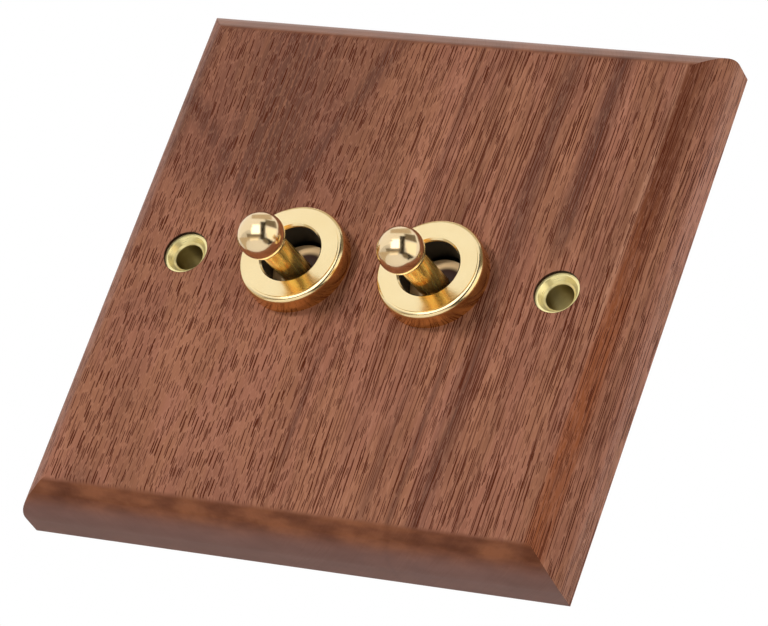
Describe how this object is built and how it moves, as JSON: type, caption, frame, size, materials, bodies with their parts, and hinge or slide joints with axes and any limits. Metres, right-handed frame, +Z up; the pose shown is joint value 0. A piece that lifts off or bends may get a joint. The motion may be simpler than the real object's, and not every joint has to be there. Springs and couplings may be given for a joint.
{
  "type": "two-gang toggle light switch",
  "caption": "Square walnut light switch plate with rounded-over edges, ball-ended brass toggle levers in ring nuts, brass fixing eyelets and toggle contact modules on the back",
  "frame": {"origin": "Middle of the plate's back, on the wall plane, half way between the two fixing holes.", "axes": "+X is right and +Z is up for someone facing the plate; the front of the plate faces -Y and the switch modules run back into the wall box along +Y."},
  "size_m": [0.086, 0.0506, 0.086],
  "materials": {
    "walnut": "oiled walnut, satin",
    "brass": "polished, lacquered brass",
    "eyelet_brass": "plain brass",
    "zinc_steel": "zinc-plated steel",
    "black_moulding": "black moulded resin",
    "pale_moulding": "natural pale resin",
    "terminal_brass": "stamped brass",
    "silver": "silver contact",
    "spring_steel": "spring steel"
  },
  "bodies": {
    "plate": {"wood_plate": "walnut", "left_eyelet": "eyelet_brass", "right_eyelet": "eyelet_brass", "backing_plate": "zinc_steel", "backing_screws": "zinc_steel", "earth_screw": "zinc_steel", "left_ring_nut": "brass", "left_bush": "black_moulding", "left_upper_terminal": "terminal_brass", "left_lower_terminal": "terminal_brass", "left_common_terminal": "terminal_brass", "left_fixed_contacts": "silver", "left_terminal_screws": "zinc_steel", "left_housing": "black_moulding", "left_base": "black_moulding", "left_base_screws": "zinc_steel", "right_ring_nut": "brass", "right_bush": "black_moulding", "right_upper_terminal": "terminal_brass", "right_lower_terminal": "terminal_brass", "right_common_terminal": "terminal_brass", "right_fixed_contacts": "silver", "right_terminal_screws": "zinc_steel", "right_housing": "black_moulding", "right_base": "black_moulding", "right_base_screws": "zinc_steel"},
    "left_toggle": {"left_lever": "brass", "left_dolly": "pale_moulding", "left_plunger": "terminal_brass", "left_spring": "spring_steel"},
    "left_see_saw": {"left_rocker": "terminal_brass", "left_rocker_contacts": "silver"},
    "right_toggle": {"right_lever": "brass", "right_dolly": "pale_moulding", "right_plunger": "terminal_brass", "right_spring": "spring_steel"},
    "right_see_saw": {"right_rocker": "terminal_brass", "right_rocker_contacts": "silver"}
  },
  "joints": [
    {"name": "left_toggle_turn", "type": "hinge", "parent": "plate", "child": "left_toggle", "pos_m": [-0.0112, -0.001, 0], "axis": [-1, 0, 0], "range_deg": [0, 14]},
    {"name": "left_see_saw_rock", "type": "hinge", "parent": "plate", "child": "left_see_saw", "pos_m": [-0.0112, 0.0122, 0], "axis": [1, 0, 0], "range_deg": [0, 13]},
    {"name": "right_toggle_turn", "type": "hinge", "parent": "plate", "child": "right_toggle", "pos_m": [0.0112, -0.001, 0], "axis": [-1, 0, 0], "range_deg": [0, 14]},
    {"name": "right_see_saw_rock", "type": "hinge", "parent": "plate", "child": "right_see_saw", "pos_m": [0.0112, 0.0122, 0], "axis": [1, 0, 0], "range_deg": [0, 13]}
  ],
  "couplings": [
    {"joint": "left_see_saw_rock", "follows": "left_toggle_turn", "ratio": 0.92857},
    {"joint": "right_see_saw_rock", "follows": "right_toggle_turn", "ratio": 0.92857}
  ]
}
